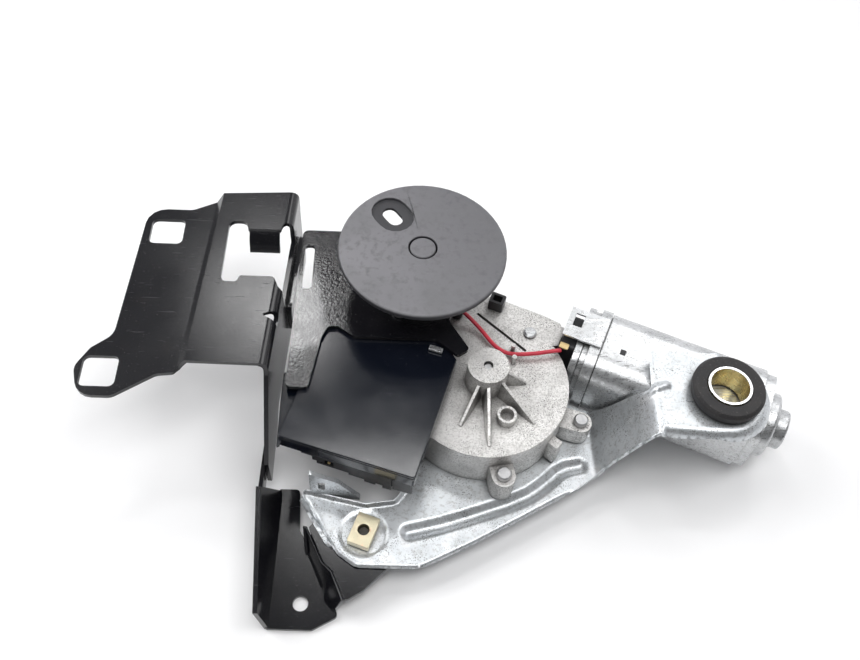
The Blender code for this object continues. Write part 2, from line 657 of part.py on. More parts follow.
# ---- black brackets ----------------------------------------------------------------------------
WEB_TOP = (-58.9, 35.6)
WEB_YAW = math.radians(-3.19)
UPRIGHT = (math.pi / 2, 0.0, math.pi / 2 + WEB_YAW)
JOGGLE = ((-38.4, TAB_TOP), (-34.8, PANEL_TOP))


def side_bracket():
    """One stamping: tab, joggle, panel and a tall web, bent from a profile and trimmed to outline."""
    bend = [(x, z + PANEL_TOP - 4) for x, z in arc(-4, 0, 4, 90, 0, 5)]
    profile = [(-92, TAB_TOP), *JOGGLE, *bend, (0, 4)]
    inner = [(x, z + PANEL_TOP - 4) for x, z in arc(-4, 0, 2, 0, 90, 5)]
    back = [(-2, 4), *inner, (JOGGLE[1][0] + 0.9, PANEL_TOP - SHEET), (JOGGLE[0][0] + 0.9, TAB_TOP - SHEET),
            (-92, TAB_TOP - SHEET)]
    body = outline("side_bracket", [profile + back], -8, 160, "black_paint")
    place(body, (*WEB_TOP, 0), (math.pi / 2, 0, WEB_YAW))
    body.location = (mm(WEB_TOP[0] + 76 * math.sin(WEB_YAW)), mm(WEB_TOP[1] - 76 * math.cos(WEB_YAW)), 0)
    plan = rounded([(-93.9, 34.8, 4), (-52, 37.6, 0), (-57, -59.2, 0), (-101.5, -58.6, 3), (-104, -61.6, 2),
                    (-111, -62.5, 6), (-127.5, -73.6, 6), (-141.5, -73.6, 8), (-145.2, -60, 7), (-140, -50.5, 4),
                    (-131.6, -43.6, 8), (-128.2, 27.9, 9), (-108, 27.9, 6), (-97.5, 33.2, 3)])
    keep = outline("bracket_plan", [plan], 60, 80)
    web = outline("web_plan", [rounded([(-36.5, 73), (1, 73, 3), (1, 26, 2), (-88, 26, 4), (-97, 18, 6),
                                        (-119, 8, 1), (-119.5, 26, 2), (-97, 66, 6), (-94, 73)])], -7, 1.5)
    place(web, (*WEB_TOP, 0), UPRIGHT)
    join(keep, web)
    boolean(body, "INTERSECT", keep)
    window = outline("panel_window", [rounded([(-89.4, -14.2, 1.2), (-89.0, 18.0, 3.4), (-81.2, 18.0, 3), (-80.2, 13.5),
                                               (-65.3, 13.5), (-64.4, 18.0, 3), (-54, 18.0), (-54, -20),
                                               (-63.6, -19, 2), (-66, -13.4, 2), (-81.0, -13.4, 1),
                                               (-82.2, -16.8, 1.5), (-88, -16.8, 1.5)])], 58, 80)
    holes = [outline(f"tab_hole_{i}", [box_loop(x0, x1, y0, y1, 2.6)], 60, 70)
             for i, (x0, x1, y0, y1) in enumerate(((-125.6, -110.4, 7.3, 21.8), (-142.0, -127.0, -69.2, -54.4)))]
    cut(body, window, *holes,
        outline("gusset_slot", [rounded([(-70.0, -34.0, 0.8), (-60, -30.2), (-60, -38.4)])], 66.5, 80))
    tongue = outline("panel_tongue", [[(17, 71.9), (14, 71.9), (9.6, 68.4), (7.2, 62.6), (9.0, 61.8), (11.3, 67.2),
                                       (14.9, 70.1), (17, 70.1)]], -79.6, -65.8)
    place(tongue, (-72.7, 0, 0), (math.pi / 2, 0, math.pi / 2))
    join(body, tongue)


def foot_bracket():
    """Channel foot: base on the floor, outer flange, riser and the raised panel under the plate."""
    base = outline("foot_bracket", [rounded([(-63.6, -148.3, 1.5), (-43.3, -148.6, 2), (-32.4, -142.6, 2),
                                             (-34.5, -136.5, 1), (-37.5, -133.5, 1), (-46.0, -114.5, 1),
                                             (-51.6, -104, 2), (-53.0, -84.0, 2), (-62.5, -84.0, 1)]),
                                    ring(-48.8, -137.3, 3.4, 24)], 0.0, SHEET, "black_paint")
    raised = outline("raised_panel", [rounded([(-29.5, -139.5, 1.5), (-21.6, -134.6, 2), (-11.5, -124.6, 2),
                                               (-11.5, -101, 4), (-44, -103, 3), (-46.8, -107, 1),
                                               (-39.5, -122.3, 1), (-35.2, -126.4, 1)]),
                                      ring(*NUT, 3.3, 20)], 11.2, 11.2 + SHEET)
    riser = hull("riser", [(-38.9, -131.0, 0.1), (-47.3, -113.0, 0.1), (-40.9, -131.0, 0.1), (-49.3, -113.0, 0.1),
                           (-36.2, -124.6, 13.1), (-43.6, -109.4, 13.1), (-38.0, -124.6, 13.1),
                           (-45.4, -109.4, 13.1)])
    flange = hull("outer_flange", [(-60.5, -84.2, 0.1), (-62.8, -84.2, 0.1), (-71.0, -91.0, 20), (-69.0, -91.0, 20),
                                   (-61.4, -148.0, 0.1), (-63.4, -148.0, 0.1), (-66.6, -147.4, 20),
                                   (-64.6, -147.4, 20)])
    lap = outline("web_lap", [rounded([(-130, 6), (-99, 16), (-99, 24, 3), (-130, 18)])], -0.9, 0.9)
    place(lap, (WEB_TOP[0] - 3.3, WEB_TOP[1], 0), UPRIGHT)
    join(base, raised, riser, flange, lap)


def inner_bracket():
    shelf = outline("inner_bracket", [rounded([(-57.4, 31.5, 3), (4, 31.5, 12), (20.5, 14, 8), (20.5, -6, 8),
                                               (13.4, -19.5, 3), (22.8, -35.2, 1.5), (17.4, -38.9, 1.5), (7, -30.2, 3),
                                               (-30, -30.2, 3), (-37.7, -24.6, 2), (-42.2, -25.1, 3), (-44.6, -31, 3),
                                               (-49, -57.6, 2.5), (-58.8, -57.6, 2.5)]), ring(0, 0, 13.0, 32)],
                    SHELF_TOP - SHEET, SHELF_TOP, "gloss_paint")
    flange = outline("shelf_flange", [box_loop(-52, -6, 32, SHELF_TOP - 0.2, 4)], -1.0, 1.0)
    place(flange, (WEB_TOP[0] + 1.35, WEB_TOP[1], 0), UPRIGHT)
    join(shelf, flange)
    slot = outline("shelf_slot", [box_loop(-2.3, 2.3, -13, 13, 1.6)], 45, 55)
    slot.location.xy = (mm(-53.4), mm(9.0))
    cut(shelf, slot, *[drill(f"shelf_hole_{i}", x, y, 2.3, 45, 55) for i, (x, y) in enumerate(BRACKET_POSTS)])


# ---- control unit ------------------------------------------------------------------------------
UNIT_AXIS = empty("unit_axis", (*UNIT_CORNER, 0), (0, 0, UNIT_YAW))
UNIT_CUT = 8.5


def unit_part(obj):
    obj.parent = UNIT_AXIS
    return obj


def unit_loop(shrink=0.0):
    n = shrink
    return rounded([(-UNIT_W + n, n, 1.2), (-n, n, 1.2), (-n, UNIT_L - n * 0.6, 1), (-UNIT_CUT - n * 0.6, 70 - n, 1),
                    (-UNIT_W + n, 70 - n, 1.2)], 3)


def control_unit():
    case = unit_part(outline("control_unit_case", [unit_loop()], 39.8, 46.6, "case_plastic"))
    join(case, unit_part(outline("case_deep", [box_loop(-UNIT_W + 14, -6, 8.4, 23.5, 1)], 30, 42)))
    cut(case, unit_part(outline("case_tray", [unit_loop(1.6)], 41.3, 50)),
        unit_part(outline("case_well", [box_loop(-UNIT_W + 15.7, -7.7, 10.1, 21.8, 1)], 31.6, 45)))
    unit_part(outline("control_unit_lid", [unit_loop()], 46.9, LID_TOP, "case_plastic"))
    unit_part(outline("circuit_board", [unit_loop(2.2)], 43.6, 45.2, "board"))
    relay = unit_part(block("relay", (15, 10, 11), "dark_plastic", 0.6))
    relay.location = (mm(-35), mm(16), mm(37.5))
    shroud = unit_part(block("connector_shroud", (36, 7, 8.6), "dark_plastic"))
    shroud.location = (mm(-27), mm(4.6), mm(35.2))
    cavity = unit_part(block("shroud_cavity", (32.8, 8, 5.4)))
    cavity.location = (mm(-27), mm(2.2), mm(35.2))
    cut(shroud, cavity)
    for i in range(6):
        pin = unit_part(block(f"connector_pin_{i + 1}", (1.2, 5.0, 1.2), "brass"))
        pin.location = (mm(-39 + 5 * i), mm(3.2), mm(35.2))
    latch = unit_part(block("cable_clip", (6.4, 2.6, 1.6), "zinc", 0.3))
    latch.location = (mm(-10.5), mm(63.5), mm(49.6))


def centre_on_origin():
    """Moves the whole unit so that the middle of its footprint is the world's origin."""
    for obj in bpy.data.objects:
        if obj.parent is None:
            obj.location.x -= mm(FOOTPRINT_CENTRE[0])
            obj.location.y -= mm(FOOTPRINT_CENTRE[1])


def build():
    coupling_disc()
    output_train()
    wheel_train()
    gearbox_housing()
    gearbox_small_parts()
    red_wire()
    worm_shaft()
    armature()
    motor_shell()
    motor_front()
    mounting_plate()
    nut_and_grommet()
    side_bracket()
    foot_bracket()
    inner_bracket()
    control_unit()
    centre_on_origin()


build()
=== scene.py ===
"""Looks of the rear wiper drive unit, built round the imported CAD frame."""

import json
import math

import bpy
import numpy as np
from mathutils import Matrix, Vector, geometry


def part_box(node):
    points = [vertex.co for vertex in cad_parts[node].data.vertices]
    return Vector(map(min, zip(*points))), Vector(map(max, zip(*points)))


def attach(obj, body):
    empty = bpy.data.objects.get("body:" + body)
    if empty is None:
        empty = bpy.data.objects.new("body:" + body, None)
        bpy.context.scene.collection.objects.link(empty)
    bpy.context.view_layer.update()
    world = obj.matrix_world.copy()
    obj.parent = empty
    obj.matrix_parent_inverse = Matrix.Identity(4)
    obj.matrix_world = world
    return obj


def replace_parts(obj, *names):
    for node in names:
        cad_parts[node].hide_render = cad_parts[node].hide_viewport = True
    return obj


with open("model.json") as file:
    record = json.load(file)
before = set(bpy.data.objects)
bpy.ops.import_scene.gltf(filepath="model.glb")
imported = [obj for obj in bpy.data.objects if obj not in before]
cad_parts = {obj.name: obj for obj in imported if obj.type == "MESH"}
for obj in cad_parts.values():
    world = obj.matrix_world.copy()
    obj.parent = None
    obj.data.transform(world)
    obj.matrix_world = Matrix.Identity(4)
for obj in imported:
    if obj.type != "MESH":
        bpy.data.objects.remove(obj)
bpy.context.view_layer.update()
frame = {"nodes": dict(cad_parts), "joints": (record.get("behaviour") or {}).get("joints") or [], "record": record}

# ---- places, read from the frame ---------------------------------------------------------------
MM = 0.001
NODES = frame["nodes"]
DISC_LOW, DISC_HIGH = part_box("coupling_disc")
DISC_TOP = Vector(((DISC_LOW.x + DISC_HIGH.x) / 2, (DISC_LOW.y + DISC_HIGH.y) / 2, DISC_HIGH.z))
JOINTS = {joint["name"]: joint for joint in frame["joints"]}
MOTOR_DIR = Vector(JOINTS["armature_spin"]["axis"]).normalized()
MOTOR_SIDE = Vector((-MOTOR_DIR.y, MOTOR_DIR.x, 0))


def mm(*values):
    """Millimetres from the coupling disc's axis, with z above the floor, as a point in metres."""
    x, y, z = values
    return Vector((DISC_TOP.x + x * MM, DISC_TOP.y + y * MM, z * MM))


# ---- camera, light, floor ----------------------------------------------------------------------
def camera():
    elevation, azimuth, roll = math.radians(55.8), math.radians(-4.64), math.radians(5.6)
    data = bpy.data.cameras.new("camera")
    data.lens = 38.9
    data.sensor_width = 36.0
    obj = bpy.data.objects.new("camera", data)
    bpy.context.scene.collection.objects.link(obj)
    back = Vector((math.sin(azimuth) * math.cos(elevation), -math.cos(azimuth) * math.cos(elevation),
                   math.sin(elevation)))
    right = Vector((math.cos(azimuth), math.sin(azimuth), 0))
    upright = Matrix((right, back.cross(right), back)).transposed()
    obj.matrix_world = (Matrix.Translation(mm(-14.7, -264.6, 404.1))
                        @ (upright @ Matrix.Rotation(roll, 3, "Z")).to_4x4())
    bpy.context.scene.camera = obj


ROOM_CENTRE = (0, 0, 0)
PANEL_SPOT, LID_SPOT, MOTOR_SPOT = (-0.05, 0.0, 0.05), (-0.05, -0.02, 0.05), (0.05, 0.0, 0.05)
FLOOR_SIZE, FLOOR_GAP = 4.0, 0.0002


def area_light(name, place, target, size, power):
    data = bpy.data.lights.new(name, "AREA")
    data.shape = "RECTANGLE"
    data.size, data.size_y = size
    data.energy = power
    obj = bpy.data.objects.new(name, data)
    bpy.context.scene.collection.objects.link(obj)
    obj.location = place
    obj.rotation_euler = (Vector(target) - Vector(place)).to_track_quat("-Z", "Y").to_euler()


def sky(tree):
    """Pale walls that darken towards the ceiling and towards the camera's side of the room."""
    place = tree.nodes.new("ShaderNodeTexCoord")
    split = tree.nodes.new("ShaderNodeSeparateXYZ")
    ramp = tree.nodes.new("ShaderNodeValToRGB")
    tree.links.new(place.outputs["Generated"], split.inputs[0])
    tree.links.new(split.outputs["Z"], ramp.inputs["Fac"])
    shades = ((0.0, 0.95), (0.42, 0.90), (0.64, 0.55), (0.76, 0.10), (1.0, 0.04))
    ramp.color_ramp.elements[0].position, ramp.color_ramp.elements[1].position = 0.0, 1.0
    for position, value in shades[1:-1]:
        ramp.color_ramp.elements.new(position)
    for element, (position, value) in zip(ramp.color_ramp.elements, shades):
        element.position = position
        element.color = (value, value, value * 1.02, 1)
    near = tree.nodes.new("ShaderNodeMapRange")
    for key, number in (("From Min", -0.7), ("From Max", 0.15), ("To Min", 0.12), ("To Max", 1.0)):
        near.inputs[key].default_value = number
    tree.links.new(split.outputs["Y"], near.inputs["Value"])
    tree.links.new(ramp.outputs["Color"], tree.nodes["Background"].inputs["Color"])
    tree.links.new(near.outputs["Result"], tree.nodes["Background"].inputs["Strength"])


def studio():
    world = bpy.data.worlds.new("studio")
    world.use_nodes = True
    sky(world.node_tree)
    bpy.context.scene.world = world
    bpy.context.scene.view_settings.view_transform = "Standard"
    area_light("key", (-0.95, 0.35, 0.95), ROOM_CENTRE, (0.70, 0.70), 7.5)
    area_light("top", (0.10, -0.18, 0.98), ROOM_CENTRE, (1.1, 0.34), 6.2)
    area_light("glow", (-0.22, 0.69, 1.0), PANEL_SPOT, (0.16, 0.12), 1.0)
    area_light("band", (-0.04, 0.39, 1.0), LID_SPOT, (0.26, 0.08), 0.85)
    area_light("window", (0.52, 0.66, 0.95), MOTOR_SPOT, (0.50, 0.45), 2.2)
    bpy.ops.mesh.primitive_grid_add(x_subdivisions=2, y_subdivisions=2, size=FLOOR_SIZE,
                                    location=(0, 0, -FLOOR_GAP))
    floor = bpy.context.active_object
    floor.name = "floor"
    mat = bpy.data.materials.new("floor_white")
    mat.use_nodes = True
    shader = mat.node_tree.nodes["Principled BSDF"]
    shader.inputs["Base Color"].default_value = (0.93, 0.93, 0.935, 1)
    shader.inputs["Roughness"].default_value = 0.45
    floor.data.materials.append(mat)


# ---- material nodes ----------------------------------------------------------------------------
class Surface:
    """A Principled material whose colour, roughness and bump are layered from procedural textures."""

    def __init__(self, name, colour, roughness, metallic=0.0, specular=0.5, coat=0.0, coat_rough=0.1):
        self.mat = bpy.data.materials.new("look_" + name)
        self.mat.use_nodes = True
        self.tree = self.mat.node_tree
        self.shader = self.tree.nodes["Principled BSDF"]
        self.shader.inputs["Metallic"].default_value = metallic
        self.shader.inputs["Specular IOR Level"].default_value = specular
        self.shader.inputs["Coat Weight"].default_value = coat
        self.shader.inputs["Coat Roughness"].default_value = coat_rough
        self.shader.inputs["Roughness"].default_value = roughness
        self.shader.inputs["Base Color"].default_value = (*colour, 1)
        self.coords = self.node("ShaderNodeTexCoord").outputs["Object"]
        self.colour = None
        self.base = (*colour, 1)
        self.rough = None
        self.base_rough = roughness
        self.normal = None

    def node(self, kind, **values):
        made = self.tree.nodes.new(kind)
        for key, value in values.items():
            if key in made.inputs.keys():
                made.inputs[key].default_value = value
            else:
                setattr(made, key, value)
        return made

    def join(self, source, socket):
        self.tree.links.new(source, socket)

    def stretched(self, scale=(1, 1, 1), turn=(0, 0, 0), offset=(0, 0, 0)):
        mapping = self.node("ShaderNodeMapping", Scale=scale, Rotation=turn, Location=offset)
        self.join(self.coords, mapping.inputs["Vector"])
        return mapping.outputs["Vector"]

    def noise(self, size_mm, detail=3.0, low=0.4, high=0.6, coords=None, rough=0.55, distortion=0.0):
        """A mask from 0 to 1 out of noise whose blobs are about size_mm across."""
        tex = self.node("ShaderNodeTexNoise", Scale=1000.0 / size_mm, Detail=detail, Roughness=rough,
                        Distortion=distortion)
        self.join(coords or self.coords, tex.inputs["Vector"])
        return self.limits(tex.outputs["Fac"], low, high)

    def cells(self, size_mm, low=0.0, high=1.0, feature="F1", coords=None):
        tex = self.node("ShaderNodeTexVoronoi", Scale=1000.0 / size_mm)
        tex.feature = feature
        self.join(coords or self.coords, tex.inputs["Vector"])
        return self.limits(tex.outputs["Distance"], low, high)

    def limits(self, value, low, high, to_low=0.0, to_high=1.0):
        ramp = self.node("ShaderNodeMapRange")
        for key, number in (("From Min", low), ("From Max", high), ("To Min", to_low), ("To Max", to_high)):
            ramp.inputs[key].default_value = number
        self.join(value, ramp.inputs["Value"])
        return ramp.outputs["Result"]

    def math(self, operation, a, b):
        made = self.node("ShaderNodeMath", operation=operation)
        for value, socket in ((a, made.inputs[0]), (b, made.inputs[1])):
            if isinstance(value, (int, float)):
                socket.default_value = value
            else:
                self.join(value, socket)
        return made.outputs[0]

    def tint(self, mask, colour, amount=1.0):
        """Mixes a colour in where the mask is 1."""
        mix = self.node("ShaderNodeMix", data_type="RGBA")
        strength = mask if amount == 1.0 else self.math("MULTIPLY", mask, amount)
        self.join(strength, mix.inputs["Factor"])
        if self.colour is None:
            mix.inputs["A"].default_value = self.base
        else:
            self.join(self.colour, mix.inputs["A"])
        mix.inputs["B"].default_value = (*colour, 1)
        self.colour = mix.outputs["Result"]
        return self

    def wear(self, mask, roughness):
        """Takes the roughness to another value where the mask is 1."""
        mix = self.node("ShaderNodeMix", data_type="FLOAT")
        self.join(mask, mix.inputs["Factor"])
        if self.rough is None:
            mix.inputs["A"].default_value = self.base_rough
        else:
            self.join(self.rough, mix.inputs["A"])
        mix.inputs["B"].default_value = roughness
        self.rough = mix.outputs["Result"]
        return self

    def bump(self, mask, height_mm, strength=1.0):
        made = self.node("ShaderNodeBump", Strength=strength, Distance=height_mm * MM)
        self.join(mask, made.inputs["Height"])
        if self.normal is not None:
            self.join(self.normal, made.inputs["Normal"])
        self.normal = made.outputs["Normal"]
        return self

    def done(self):
        if self.colour is not None:
            self.join(self.colour, self.shader.inputs["Base Color"])
        if self.rough is not None:
            self.join(self.rough, self.shader.inputs["Roughness"])
        if self.normal is not None:
            self.join(self.normal, self.shader.inputs["Normal"])
        return self.mat


RECESS_EDGE = DISC_TOP.z / MM - 0.7        # height between the disc's face and the floor of its recess
SLEEVE_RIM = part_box("grommet_sleeve")[1].z / MM - 0.25


def streaks(look, size_mm, ratio, turn, low, high, detail=2.0):
    """Long thin marks: noise stretched along one direction."""
    coords = look.stretched(scale=(1.0 / ratio, 1.0, 1.0), turn=(0, 0, turn))
    return look.noise(size_mm, detail, low, high, coords=coords)


def specks(look, size_mm, share):
    """Small separate dots that cover about that share of the surface."""
    return look.noise(size_mm, 1.0, 1.0 - share, 1.0 - share * 0.8, rough=0.3)


def painted_corner_shade(look, reach_mm, colour, amount):
    """Painted shade: darkens the colour in corners and under edges, found by ambient occlusion."""
    near = look.node("ShaderNodeAmbientOcclusion", Distance=reach_mm * MM)
    near.samples = 6
    mask = look.limits(near.outputs["AO"], 0.80, 0.35)
    return look.tint(mask, colour, amount)


def black_paint():
    look = Surface("black_paint", (0.0050, 0.0050, 0.0070), 0.17, specular=0.55)
    look.tint(look.noise(34, 3, 0.35, 0.75), (0.009, 0.009, 0.011), 0.8)
    look.tint(look.noise(11, 4, 0.60, 0.80), (0.024, 0.021, 0.021), 0.5)
    look.tint(specks(look, 0.6, 0.25), (0.16, 0.15, 0.14), 0.5)
    look.tint(streaks(look, 0.45, 26, 0.5, 0.735, 0.76), (0.13, 0.13, 0.14), 0.5)
    look.wear(look.noise(26, 3, 0.25, 0.85), 0.24)
    look.wear(streaks(look, 0.7, 16, -0.9, 0.68, 0.74), 0.36)
    look.bump(look.noise(1.6, 2, 0.3, 0.7), 0.02, 0.25)
    look.bump(look.noise(0.25, 1, 0.3, 0.7), 0.004, 0.25)
    return look.done()


def gloss_paint():
    look = Surface("gloss_paint", (0.006, 0.006, 0.008), 0.15, specular=0.6, coat=0.4, coat_rough=0.06)
    look.tint(look.noise(22, 3, 0.4, 0.7), (0.014, 0.014, 0.016), 0.6)
    look.tint(specks(look, 0.7, 0.25), (0.20, 0.19, 0.18), 0.5)
    look.wear(look.noise(9, 3, 0.4, 0.7), 0.26)
    look.bump(look.noise(1.3, 2, 0.3, 0.7), 0.07, 0.6)
    return look.done()


def galvanised():
    look = Surface("galvanised", (0.70, 0.725, 0.745), 0.30, metallic=0.72)
    look.tint(look.cells(6.0, 0.2, 0.9), (0.56, 0.59, 0.62), 0.5)
    look.tint(look.noise(24, 5, 0.46, 0.70), (0.44, 0.465, 0.48), 0.6)
    look.tint(look.noise(1.5, 5, 0.52, 0.68), (0.36, 0.36, 0.355), 0.6)
    look.tint(look.noise(9, 4, 0.56, 0.70), (0.86, 0.87, 0.88), 0.5)
    spots = look.math("MULTIPLY", specks(look, 0.55, 0.40), look.noise(13, 3, 0.40, 0.62))
    look.tint(spots, (0.035, 0.033, 0.03), 0.9)
    # painted shade in corners and under edges
    painted_corner_shade(look, 5.0, (0.16, 0.17, 0.175), 0.7)
    look.wear(look.noise(7, 4, 0.35, 0.7), 0.44)
    look.wear(look.cells(4.0, 0.1, 0.8), 0.36)
    look.bump(look.noise(0.8, 3, 0.3, 0.7), 0.03, 0.4)
    return look.done()


def zinc():
    look = Surface("zinc", (0.66, 0.67, 0.68), 0.24, metallic=0.8)
    look.tint(look.noise(18, 4, 0.42, 0.68), (0.46, 0.47, 0.48), 0.7)
    look.tint(look.noise(1.6, 5, 0.54, 0.70), (0.30, 0.30, 0.29), 0.6)
    spots = look.math("MULTIPLY", specks(look, 0.55, 0.38), look.noise(12, 3, 0.42, 0.62))
    look.tint(spots, (0.05, 0.05, 0.045), 0.85)
    # painted shade in corners and under edges
    painted_corner_shade(look, 4.0, (0.10, 0.10, 0.095), 0.8)
    look.wear(streaks(look, 0.8, 18, -0.4, 0.35, 0.7), 0.46)
    look.bump(look.noise(0.6, 2, 0.3, 0.7), 0.02, 0.35)
    return look.done()


def yellow_zinc():
    look = Surface("yellow_zinc", (0.60, 0.535, 0.39), 0.30, metallic=0.85)
    look.tint(look.noise(4.5, 3, 0.4, 0.65), (0.56, 0.53, 0.38), 0.6)
    look.tint(look.noise(3.0, 3, 0.58, 0.7), (0.78, 0.46, 0.30), 0.6)
    look.tint(look.noise(1.0, 3, 0.66, 0.72), (0.20, 0.15, 0.09), 0.6)
    look.wear(look.noise(2.5, 3, 0.35, 0.7), 0.42)
    look.bump(look.noise(0.5, 2, 0.3, 0.7), 0.012, 0.3)
    return look.done()


def cast_alloy():
    look = Surface("cast_alloy", (0.70, 0.69, 0.675), 0.36, metallic=0.7)
    look.tint(look.noise(16, 4, 0.44, 0.68), (0.46, 0.45, 0.44), 0.7)
    look.tint(look.noise(0.9, 3, 0.46, 0.66), (0.30, 0.29, 0.28), 0.65)
    look.tint(look.noise(3.5, 4, 0.60, 0.74), (0.90, 0.89, 0.88), 0.55)
    spots = look.math("MULTIPLY", specks(look, 0.5, 0.42), look.noise(10, 3, 0.38, 0.60))
    look.tint(spots, (0.03, 0.028, 0.025), 0.9)
    # painted shade: the alloy is darkened towards its left (-x) side
    look.tint(towards(look, 180, -25, 12), (0.34, 0.335, 0.33), 0.7)
    # painted shade in corners and under edges
    painted_corner_shade(look, 5.0, (0.10, 0.095, 0.09), 0.8)
    look.wear(look.noise(4, 4, 0.35, 0.7), 0.50)
    look.bump(look.noise(0.7, 4, 0.3, 0.7), 0.06, 0.55)
    look.bump(look.noise(6, 3, 0.3, 0.7), 0.12, 0.3)
    return look.done()


def plain_metal(name, colour, roughness):
    look = Surface(name, colour, roughness, metallic=0.95)
    look.tint(look.noise(3, 3, 0.45, 0.7), tuple(c * 0.7 for c in colour), 0.6)
    look.wear(look.noise(1.5, 3, 0.35, 0.7), roughness + 0.15)
    look.bump(look.noise(0.5, 2, 0.3, 0.7), 0.015, 0.3)
    return look.done()


def gold_sleeve():
    look = Surface("gold_sleeve", (0.70, 0.57, 0.26), 0.24, metallic=0.95)
    look.tint(look.noise(4, 3, 0.45, 0.65), (0.62, 0.60, 0.34), 0.6)
    look.tint(look.noise(2.5, 3, 0.60, 0.70), (0.74, 0.44, 0.30), 0.5)
    bare = look.math("SUBTRACT", 1.0, lower(look, SLEEVE_RIM, 0.15))
    look.tint(bare, (0.86, 0.87, 0.88))
    look.wear(look.noise(1.5, 3, 0.35, 0.7), 0.36)
    look.bump(look.noise(0.5, 2, 0.3, 0.7), 0.015, 0.3)
    return look.done()


def rubber():
    look = Surface("rubber", (0.019, 0.018, 0.019), 0.55, specular=0.4)
    look.tint(look.noise(6, 4, 0.45, 0.7), (0.036, 0.033, 0.032), 0.7)
    look.tint(specks(look, 0.7, 0.33), (0.11, 0.10, 0.095), 0.35)
    look.wear(look.noise(3, 3, 0.4, 0.7), 0.7)
    look.bump(look.noise(0.6, 3, 0.3, 0.7), 0.03, 0.5)
    return look.done()


def lower(look, level_mm, soft_mm):
    """A mask of everything below a height."""
    split = look.node("ShaderNodeSeparateXYZ")
    look.join(look.coords, split.inputs[0])
    return look.limits(split.outputs["Z"], (level_mm + soft_mm) * MM, (level_mm - soft_mm) * MM)


def towards(look, direction, start_mm, end_mm):
    """A mask that grows along a level direction."""
    turned = look.stretched(turn=(0, 0, -math.radians(direction)))
    split = look.node("ShaderNodeSeparateXYZ")
    look.join(turned, split.inputs[0])
    return look.limits(split.outputs["X"], start_mm * MM, end_mm * MM)


def disc_plastic():
    look = Surface("disc_plastic", (0.104, 0.104, 0.113), 0.38, specular=0.5)
    # painted light: the disc is lightened towards its left and front (200 degrees)
    look.tint(towards(look, 200, -50, 60), (0.235, 0.230, 0.245), 0.9)
    look.tint(look.noise(3.0, 5, 0.5, 0.72), (0.085, 0.083, 0.088), 0.7)
    look.tint(look.noise(24, 4, 0.4, 0.7), (0.135, 0.135, 0.142), 0.8)
    look.tint(streaks(look, 0.5, 30, 0.7, 0.72, 0.75), (0.24, 0.24, 0.25), 0.4)
    look.tint(streaks(look, 0.45, 22, -0.6, 0.73, 0.76), (0.22, 0.22, 0.23), 0.3)
    look.tint(specks(look, 0.5, 0.23), (0.34, 0.34, 0.34), 0.6)
    # painted shade: everything below the disc's face, in its recess and down its sides, is darkened
    look.tint(lower(look, RECESS_EDGE, 0.4), (0.022, 0.022, 0.026), 0.9)
    look.wear(look.noise(18, 4, 0.35, 0.7), 0.58)
    look.wear(streaks(look, 1.0, 20, 0.2, 0.6, 0.7), 0.36)
    look.bump(look.noise(0.5, 3, 0.3, 0.7), 0.012, 0.4)
    return look.done()


def case_plastic():
    look = Surface("case_plastic", (0.0040, 0.0055, 0.0105), 0.13, specular=0.5)
    look.tint(look.noise(30, 3, 0.4, 0.7), (0.007, 0.009, 0.015), 0.8)
    look.tint(streaks(look, 0.35, 30, 0.35, 0.745, 0.76), (0.06, 0.06, 0.07), 0.4)
    look.tint(specks(look, 0.5, 0.22), (0.22, 0.22, 0.22), 0.5)
    look.wear(look.noise(16, 4, 0.3, 0.8), 0.20)
    look.wear(streaks(look, 0.8, 24, -0.3, 0.70, 0.76), 0.26)
    look.bump(look.noise(2.5, 2, 0.3, 0.7), 0.012, 0.25)
    return look.done()


def moulded(name, colour, roughness):
    look = Surface(name, colour, roughness, specular=0.45)
    look.tint(look.noise(8, 3, 0.4, 0.7), tuple(min(1.0, c * 1.5 + 0.01) for c in colour), 0.5)
    look.wear(look.noise(4, 3, 0.4, 0.7), min(1.0, roughness + 0.12))
    look.bump(look.noise(0.4, 2, 0.3, 0.7), 0.01, 0.35)
    return look.done()


LOOKS = {
    "black_paint": black_paint(),
    "gloss_paint": gloss_paint(),
    "galvanised": galvanised(),
    "zinc": zinc(),
    "yellow_zinc": yellow_zinc(),
    "cast_alloy": cast_alloy(),
    "steel": plain_metal("steel", (0.50, 0.50, 0.505), 0.32),
    "dark_steel": plain_metal("dark_steel", (0.07, 0.065, 0.06), 0.40),
    "gold_sleeve": gold_sleeve(),
    "brass": plain_metal("brass", (0.70, 0.54, 0.28), 0.30),
    "copper": plain_metal("copper", (0.72, 0.38, 0.24), 0.32),
    "rubber": rubber(),
    "disc_plastic": disc_plastic(),
    "case_plastic": case_plastic(),
    "dark_plastic": moulded("dark_plastic", (0.016, 0.016, 0.018), 0.42),
    "gear_plastic": moulded("gear_plastic", (0.70, 0.67, 0.58), 0.42),
    "wire_red": moulded("wire_red", (0.56, 0.035, 0.06), 0.38),
    "board": moulded("board", (0.02, 0.12, 0.05), 0.40),
    "ferrite": moulded("ferrite", (0.03, 0.03, 0.03), 0.60),
    "carbon": moulded("carbon", (0.02, 0.02, 0.02), 0.60),
}


# ---- CAD nodes that stay: better material and softened edges -------------------------------------
def round_edges(obj, width_mm, angle=32, segments=2):
    """Rounds every real edge by a little and keeps the flat faces flat."""
    edge = obj.modifiers.new("edges", "BEVEL")
    edge.width = width_mm * MM
    edge.segments = segments
    edge.limit_method = "ANGLE"
    edge.angle_limit = math.radians(angle)
    edge.use_clamp_overlap = True
    flats = obj.modifiers.new("flats", "WEIGHTED_NORMAL")
    flats.keep_sharp = True
    flats.weight = 90
    obj.data.shade_smooth()


def soften(obj, width_mm):
    """Welds a CAD node and merges its coplanar triangles, then rounds its edges."""
    weld = obj.modifiers.new("weld", "WELD")
    weld.merge_threshold = 0.000002
    flat = obj.modifiers.new("flat", "DECIMATE")
    flat.decimate_type = "DISSOLVE"
    flat.angle_limit = math.radians(0.6)
    round_edges(obj, width_mm)


